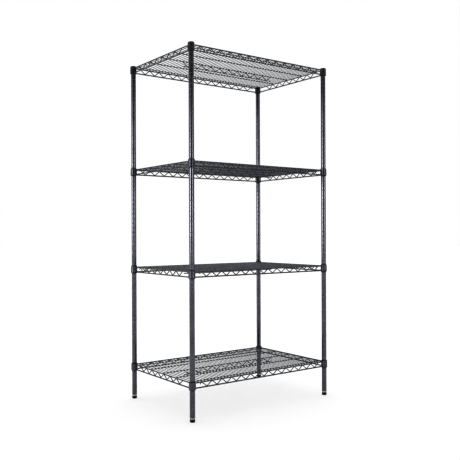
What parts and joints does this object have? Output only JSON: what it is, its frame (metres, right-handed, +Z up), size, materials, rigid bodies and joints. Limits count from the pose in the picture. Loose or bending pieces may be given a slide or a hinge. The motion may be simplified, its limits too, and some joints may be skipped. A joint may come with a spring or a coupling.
{
  "type": "wire shelving rack",
  "caption": "Free-standing wire shelving rack: grooved round posts, welded wire shelves wedged on split sleeves, screw-out levelling feet.",
  "frame": {"origin": "on the floor, at the centre of the four feet", "axes": "+X along the long side, +Y from the front to the back, +Z up"},
  "size_m": [0.9144, 0.6102, 1.8199],
  "materials": {
    "post_coat": "black anthracite epoxy coat, semi-gloss",
    "shelf_coat": "black epoxy coat over welded wire, semi-gloss",
    "sleeve_plastic": "moulded, satin",
    "cap_plastic": "moulded, satin",
    "zinc": "bright zinc plate",
    "glide_plastic": "moulded nylon, satin"
  },
  "bodies": {
    "frame": {"post_front_left": "post_coat", "post_cap_front_left": "cap_plastic", "foot_insert_front_left": "zinc", "post_front_right": "post_coat", "post_cap_front_right": "cap_plastic", "foot_insert_front_right": "zinc", "post_back_left": "post_coat", "post_cap_back_left": "cap_plastic", "foot_insert_back_left": "zinc", "post_back_right": "post_coat", "post_cap_back_right": "cap_plastic", "foot_insert_back_right": "zinc", "top_shelf_split_sleeves": "sleeve_plastic", "upper_shelf_split_sleeves": "sleeve_plastic", "lower_shelf_split_sleeves": "sleeve_plastic", "bottom_shelf_split_sleeves": "sleeve_plastic"},
    "top_shelf": {"top_shelf_collars": "shelf_coat", "top_shelf_rim_top": "shelf_coat", "top_shelf_rim_bottom": "shelf_coat", "top_shelf_edge_trusses": "shelf_coat", "top_shelf_deck_wires": "shelf_coat", "top_shelf_runners": "shelf_coat", "top_shelf_centre_truss": "shelf_coat"},
    "upper_shelf": {"upper_shelf_collars": "shelf_coat", "upper_shelf_rim_top": "shelf_coat", "upper_shelf_rim_bottom": "shelf_coat", "upper_shelf_edge_trusses": "shelf_coat", "upper_shelf_deck_wires": "shelf_coat", "upper_shelf_runners": "shelf_coat", "upper_shelf_centre_truss": "shelf_coat"},
    "lower_shelf": {"lower_shelf_collars": "shelf_coat", "lower_shelf_rim_top": "shelf_coat", "lower_shelf_rim_bottom": "shelf_coat", "lower_shelf_edge_trusses": "shelf_coat", "lower_shelf_deck_wires": "shelf_coat", "lower_shelf_runners": "shelf_coat", "lower_shelf_centre_truss": "shelf_coat"},
    "bottom_shelf": {"bottom_shelf_collars": "shelf_coat", "bottom_shelf_rim_top": "shelf_coat", "bottom_shelf_rim_bottom": "shelf_coat", "bottom_shelf_edge_trusses": "shelf_coat", "bottom_shelf_deck_wires": "shelf_coat", "bottom_shelf_runners": "shelf_coat", "bottom_shelf_centre_truss": "shelf_coat"},
    "glide_front_left": {"foot_glide_front_left": "glide_plastic"},
    "bolt_front_left": {"levelling_bolt_front_left": "zinc"},
    "glide_front_right": {"foot_glide_front_right": "glide_plastic"},
    "bolt_front_right": {"levelling_bolt_front_right": "zinc"},
    "glide_back_left": {"foot_glide_back_left": "glide_plastic"},
    "bolt_back_left": {"levelling_bolt_back_left": "zinc"},
    "glide_back_right": {"foot_glide_back_right": "glide_plastic"},
    "bolt_back_right": {"levelling_bolt_back_right": "zinc"}
  },
  "joints": [
    {"name": "top_shelf_lift", "type": "slide", "parent": "frame", "child": "top_shelf", "axis": [0, 0, 1], "range_m": [0, 0.1]},
    {"name": "upper_shelf_lift", "type": "slide", "parent": "frame", "child": "upper_shelf", "axis": [0, 0, 1], "range_m": [0, 0.51]},
    {"name": "lower_shelf_lift", "type": "slide", "parent": "frame", "child": "lower_shelf", "axis": [0, 0, 1], "range_m": [0, 0.485]},
    {"name": "bottom_shelf_lift", "type": "slide", "parent": "frame", "child": "bottom_shelf", "axis": [0, 0, 1], "range_m": [0, 0.485]},
    {"name": "foot_front_left_travel", "type": "slide", "parent": "frame", "child": "glide_front_left", "axis": [0, 0, -1], "range_m": [0, 0.01905]},
    {"name": "foot_front_left_turn", "type": "hinge", "parent": "glide_front_left", "child": "bolt_front_left", "pos_m": [-0.44, -0.288, 0.03], "axis": [0, 0, -1], "range_deg": [0, 4320]},
    {"name": "foot_front_right_travel", "type": "slide", "parent": "frame", "child": "glide_front_right", "axis": [0, 0, -1], "range_m": [0, 0.01905]},
    {"name": "foot_front_right_turn", "type": "hinge", "parent": "glide_front_right", "child": "bolt_front_right", "pos_m": [0.44, -0.288, 0.03], "axis": [0, 0, -1], "range_deg": [0, 4320]},
    {"name": "foot_back_left_travel", "type": "slide", "parent": "frame", "child": "glide_back_left", "axis": [0, 0, -1], "range_m": [0, 0.01905]},
    {"name": "foot_back_left_turn", "type": "hinge", "parent": "glide_back_left", "child": "bolt_back_left", "pos_m": [-0.44, 0.288, 0.03], "axis": [0, 0, -1], "range_deg": [0, 4320]},
    {"name": "foot_back_right_travel", "type": "slide", "parent": "frame", "child": "glide_back_right", "axis": [0, 0, -1], "range_m": [0, 0.01905]},
    {"name": "foot_back_right_turn", "type": "hinge", "parent": "glide_back_right", "child": "bolt_back_right", "pos_m": [0.44, 0.288, 0.03], "axis": [0, 0, -1], "range_deg": [0, 4320]}
  ]
}
